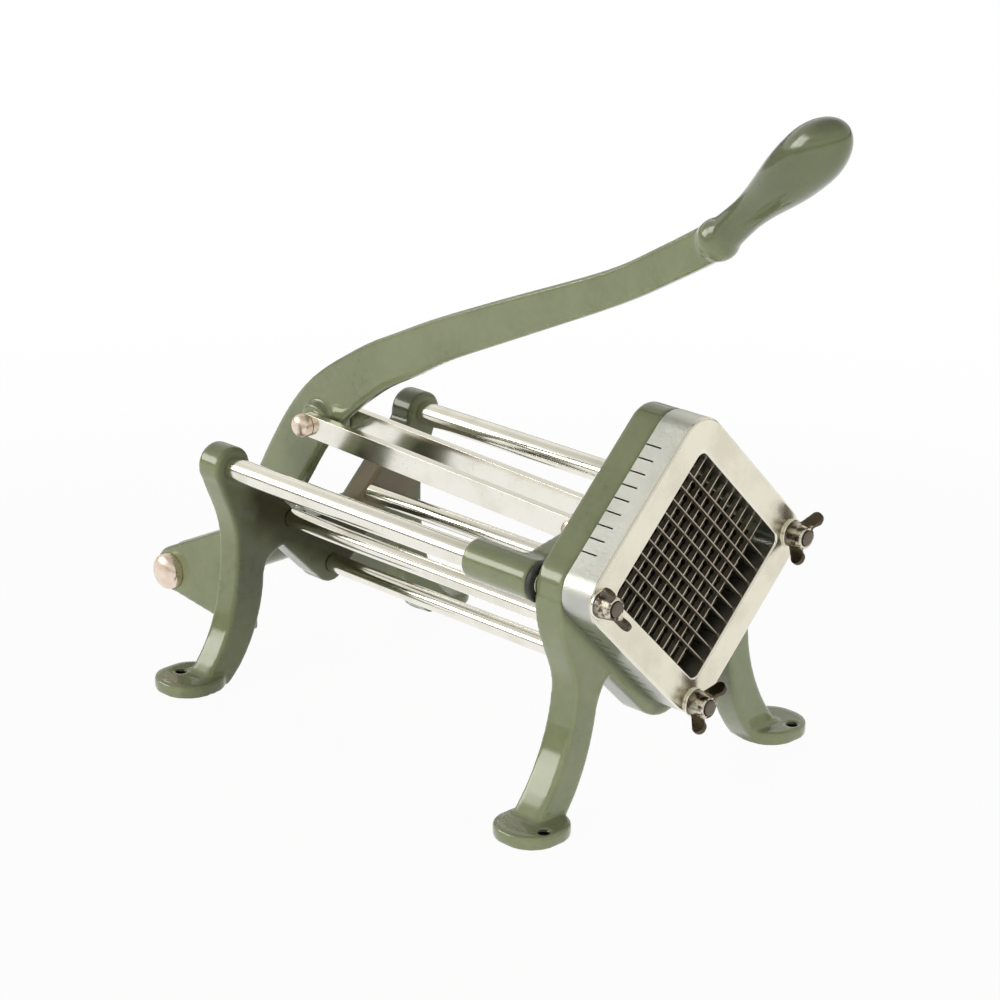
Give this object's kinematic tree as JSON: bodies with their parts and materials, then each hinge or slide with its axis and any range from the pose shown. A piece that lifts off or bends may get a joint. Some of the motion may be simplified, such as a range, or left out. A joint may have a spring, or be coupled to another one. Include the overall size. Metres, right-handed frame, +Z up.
{
  "type": "french fry cutter",
  "caption": "Lever-operated potato cutter: a cast lever pulls a push block along polished guide rods through a square grid of crossed blades.",
  "frame": {"origin": "on the table, at the centre of the rectangle of four foot holes", "axes": "+Z up; +Y from the blades at the front towards the lever's pivot at the rear; +X across the machine"},
  "size_m": [0.274, 0.5268, 0.4406],
  "materials": {
    "enamel": "gloss sage-green enamel over a cast surface",
    "polished_alloy": "polished",
    "blade_steel": "ground",
    "chromed_steel": "mirror polished",
    "dark_nickel": "dark reflective plating",
    "black_rubber": "matte",
    "block_plastic": "satin",
    "coppery_metal": "satin, pinkish copper tone"
  },
  "bodies": {
    "frame": {"front_casting": "enamel", "rear_casting": "enamel", "blade_holder": "polished_alloy", "front_blades": "blade_steel", "rear_blades": "blade_steel", "blade_pins": "blade_steel", "left_guide_rod": "chromed_steel", "right_guide_rod": "chromed_steel", "bottom_guide_rod": "chromed_steel", "left_support_rod": "chromed_steel", "right_support_rod": "chromed_steel", "wing_nut_washers": "chromed_steel", "left_bumper": "black_rubber", "right_bumper": "black_rubber", "pivot_pin": "coppery_metal", "pivot_pin_ring": "chromed_steel"},
    "handle": {"handle_lever": "enamel", "link_pin": "coppery_metal", "link_pin_ring": "chromed_steel"},
    "links": {"left_link_bar": "chromed_steel", "right_link_bar": "chromed_steel", "carriage_pin_heads": "coppery_metal"},
    "carriage": {"pusher_carriage": "enamel", "push_block": "block_plastic", "push_block_screws": "chromed_steel", "carriage_pin": "coppery_metal"},
    "left_nut": {"left_wing_nut": "dark_nickel"},
    "right_nut": {"right_wing_nut": "dark_nickel"},
    "bottom_nut": {"bottom_wing_nut": "dark_nickel"}
  },
  "joints": [
    {"name": "lever_swing", "type": "hinge", "parent": "frame", "child": "handle", "pos_m": [0, 0.2295, 0.0525], "axis": [-1, 0, 0], "range_deg": [0, 75]},
    {"name": "link_swing", "type": "hinge", "parent": "handle", "child": "links", "pos_m": [0, 0.15059, 0.16437], "axis": [1, 0, 0], "range_deg": [0, 75]},
    {"name": "pusher_slide", "type": "slide", "parent": "frame", "child": "carriage", "axis": [0, 1, 0], "range_m": [0, 0.1665]},
    {"name": "left_nut_turn", "type": "hinge", "parent": "frame", "child": "left_nut", "pos_m": [-0.0865, -0.1907, 0.151], "axis": [0, 1, 0], "continuous": true},
    {"name": "right_nut_turn", "type": "hinge", "parent": "frame", "child": "right_nut", "pos_m": [0.0865, -0.1907, 0.151], "axis": [0, 1, 0], "continuous": true},
    {"name": "bottom_nut_turn", "type": "hinge", "parent": "frame", "child": "bottom_nut", "pos_m": [0, -0.1907, 0.063], "axis": [0, 1, 0], "continuous": true}
  ],
  "couplings": [
    {"joint": "link_swing", "follows": "lever_swing", "ratio": 0.97926},
    {"joint": "pusher_slide", "follows": "lever_swing", "m_per_rad": 0.12711}
  ]
}
